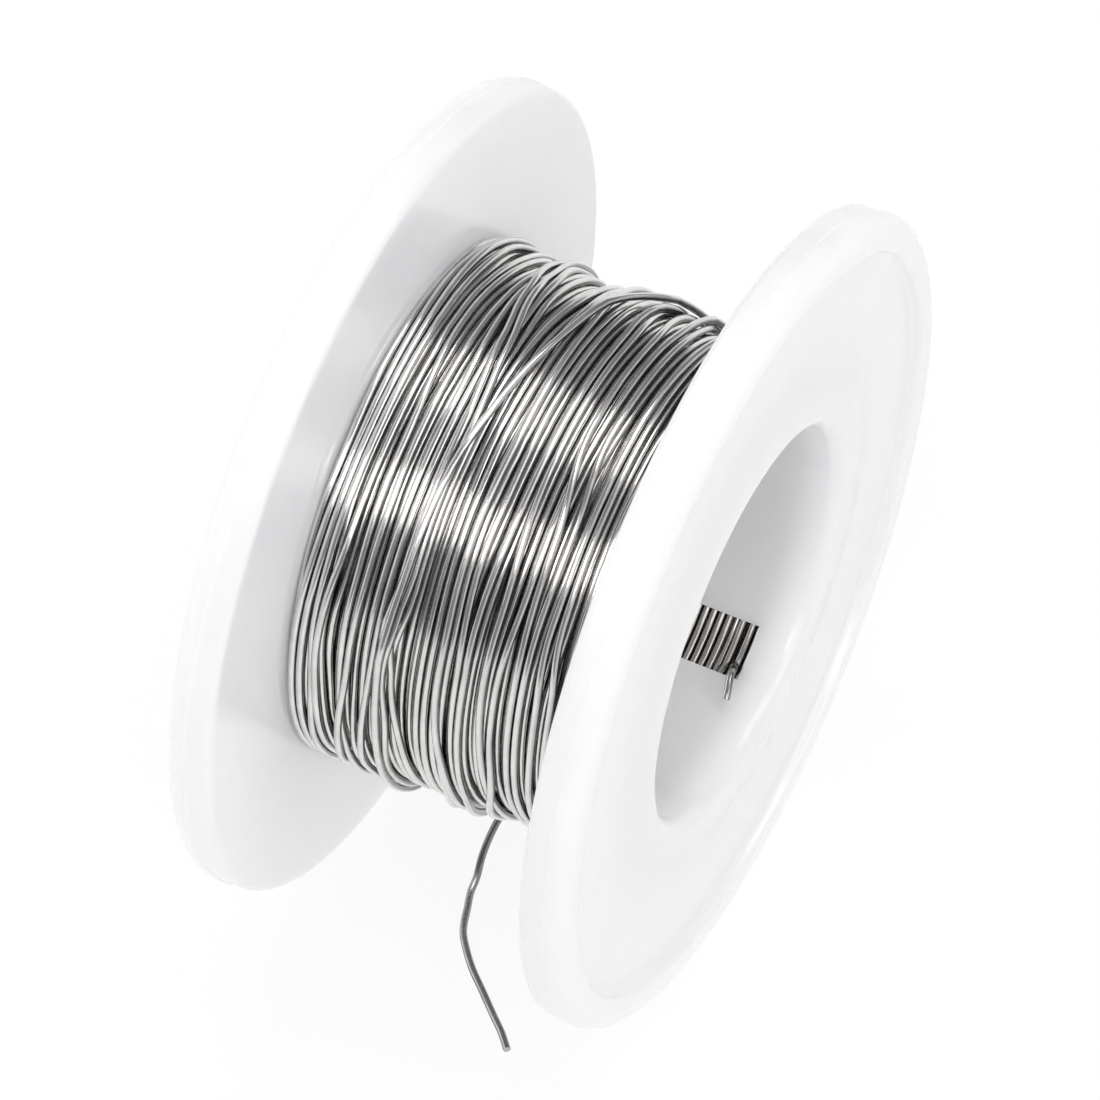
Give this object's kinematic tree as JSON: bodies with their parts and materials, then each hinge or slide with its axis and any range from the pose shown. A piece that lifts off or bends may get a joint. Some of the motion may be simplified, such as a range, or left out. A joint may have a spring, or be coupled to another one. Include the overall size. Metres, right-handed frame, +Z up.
{
  "type": "solder wire spool",
  "caption": "Small white plastic spool wound with thin solder wire, standing on its rims, with a wide spindle bore and the wire's loose end lying in front.",
  "frame": {"origin": "on the floor, under the middle of the spool that stands on its two rims", "axes": "+X along the spool's axis towards the flange with the window beside it, +Z up, and the wire's loose end lies towards -Y"},
  "size_m": [0.0274, 0.054, 0.054],
  "materials": {
    "spool_plastic": "white moulded polystyrene, glossy with soft edges",
    "solder": "bare drawn solder wire, satin silver grey"
  },
  "bodies": {
    "root": {"barrel": "spool_plastic", "left_flange": "spool_plastic", "right_flange": "spool_plastic", "wire_start": "solder", "wire_layer_1": "solder", "wire_layer_2": "solder", "wire_layer_3": "solder", "wire_layer_4": "solder", "wire_outer_turns": "solder", "wire_tail": "solder"}
  },
  "joints": []
}
